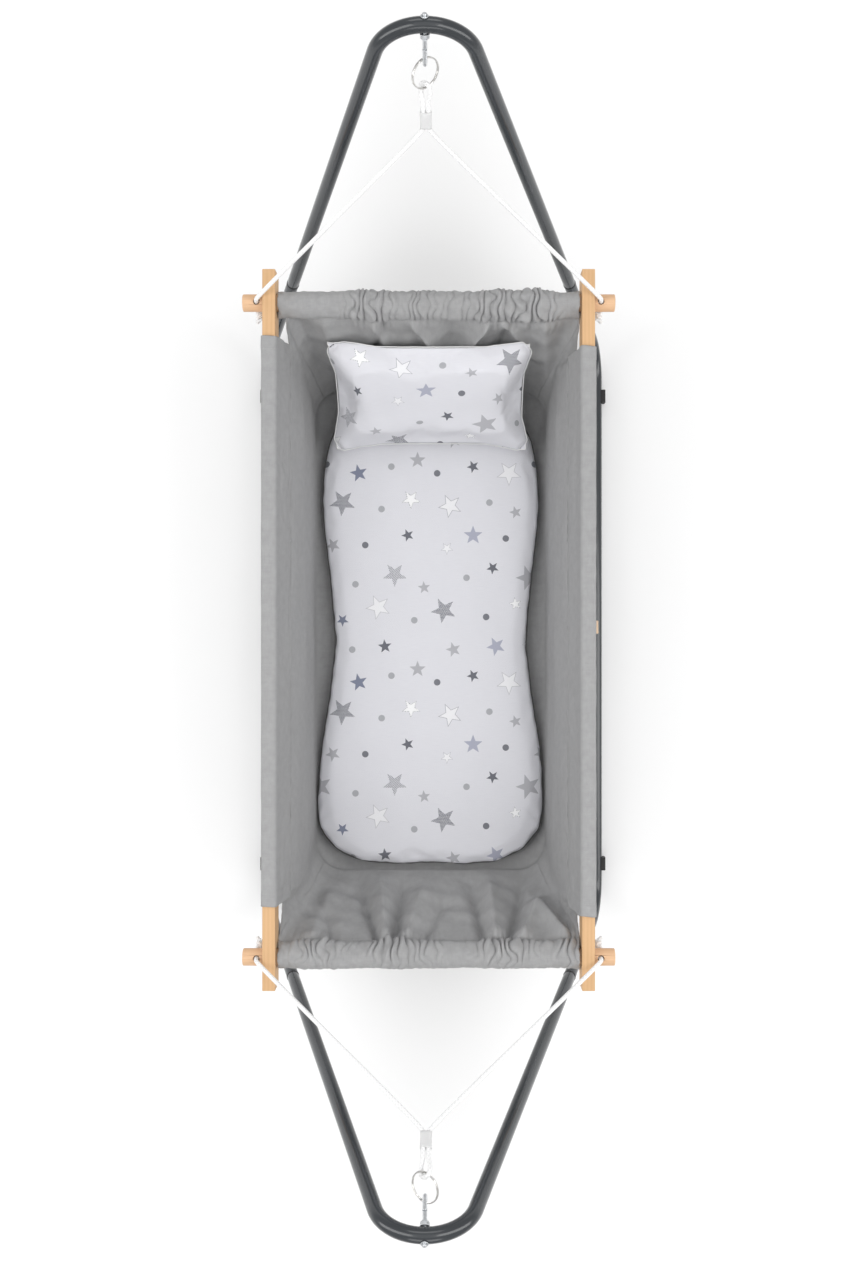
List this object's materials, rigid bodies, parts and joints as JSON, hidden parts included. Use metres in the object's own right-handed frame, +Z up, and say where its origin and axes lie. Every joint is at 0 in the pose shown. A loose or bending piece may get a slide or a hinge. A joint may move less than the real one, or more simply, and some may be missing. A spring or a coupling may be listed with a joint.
{
  "type": "baby cradle hammock on stand",
  "caption": "Fabric baby cradle on a wooden frame, hung by rope bridles between two leaning tube arches of a knock-down steel stand, with mattress and pillow.",
  "frame": {"origin": "on the floor under the middle of the stand", "axes": "+Z up; +Y towards the head end, where the pillow is; +X to the right seen from above with the head end up"},
  "size_m": [0.602, 1.4252, 0.8128],
  "materials": {
    "tube": "glossy dark slate-grey powder coat",
    "zinc": "bright zinc plate",
    "nickel": "polished nickel plate",
    "rubber": "matt black",
    "wood": "planed rails, clear matt oil",
    "dowel": "paler turned dowel, clear matt oil",
    "rope": "white braided cord",
    "binding": "white shrink sleeve",
    "hammock_cloth": "mid-grey plain-weave cotton",
    "bedding_print": "pale cotton printed with grey stars and dots",
    "tag": "plain tan woven tape"
  },
  "bodies": {
    "stand": {"head_arch_tube": "tube", "foot_arch_tube": "tube", "left_base_tube": "tube", "left_head_joint_spigot": "zinc", "left_head_joint_ring": "rubber", "left_head_foot_pad": "rubber", "left_foot_joint_spigot": "zinc", "left_foot_joint_ring": "rubber", "left_foot_foot_pad": "rubber", "right_base_tube": "tube", "right_head_joint_spigot": "zinc", "right_head_joint_ring": "rubber", "right_head_foot_pad": "rubber", "right_foot_joint_spigot": "zinc", "right_foot_joint_ring": "rubber", "right_foot_foot_pad": "rubber", "head_hook_bolt": "zinc", "head_thread_insert": "zinc", "head_hook_washer": "zinc", "head_hook_nut": "zinc", "foot_hook_bolt": "zinc", "foot_thread_insert": "zinc", "foot_hook_washer": "zinc", "foot_hook_nut": "zinc"},
    "cradle": {"head_split_ring": "nickel", "head_bridle_rope": "rope", "head_bridle_binding": "binding", "left_head_knot": "rope", "right_head_knot": "rope", "foot_split_ring": "nickel", "foot_bridle_rope": "rope", "foot_bridle_binding": "binding", "left_foot_knot": "rope", "right_foot_knot": "rope", "left_rail": "wood", "right_rail": "wood", "head_crossbar": "dowel", "foot_crossbar": "dowel", "left_rail_sleeve": "hammock_cloth", "left_side_wall": "hammock_cloth", "right_rail_sleeve": "hammock_cloth", "right_side_wall": "hammock_cloth", "hammock_floor": "hammock_cloth", "head_crossbar_sleeve": "hammock_cloth", "head_end_wall": "hammock_cloth", "foot_crossbar_sleeve": "hammock_cloth", "foot_end_wall": "hammock_cloth", "side_tag": "tag"},
    "mattress": {"mattress": "bedding_print"},
    "pillow": {"pillow": "bedding_print"}
  },
  "joints": [
    {"name": "cradle_swing", "type": "hinge", "parent": "stand", "child": "cradle", "pos_m": [0, 0, 0.772], "axis": [0, 1, 0], "range_deg": [-18, 18]},
    {"name": "mattress_lift", "type": "slide", "parent": "cradle", "child": "mattress", "axis": [0, 0, 1], "range_m": [0, 0.25]},
    {"name": "pillow_lift", "type": "slide", "parent": "mattress", "child": "pillow", "axis": [0, 0, 1], "range_m": [0, 0.15]}
  ]
}
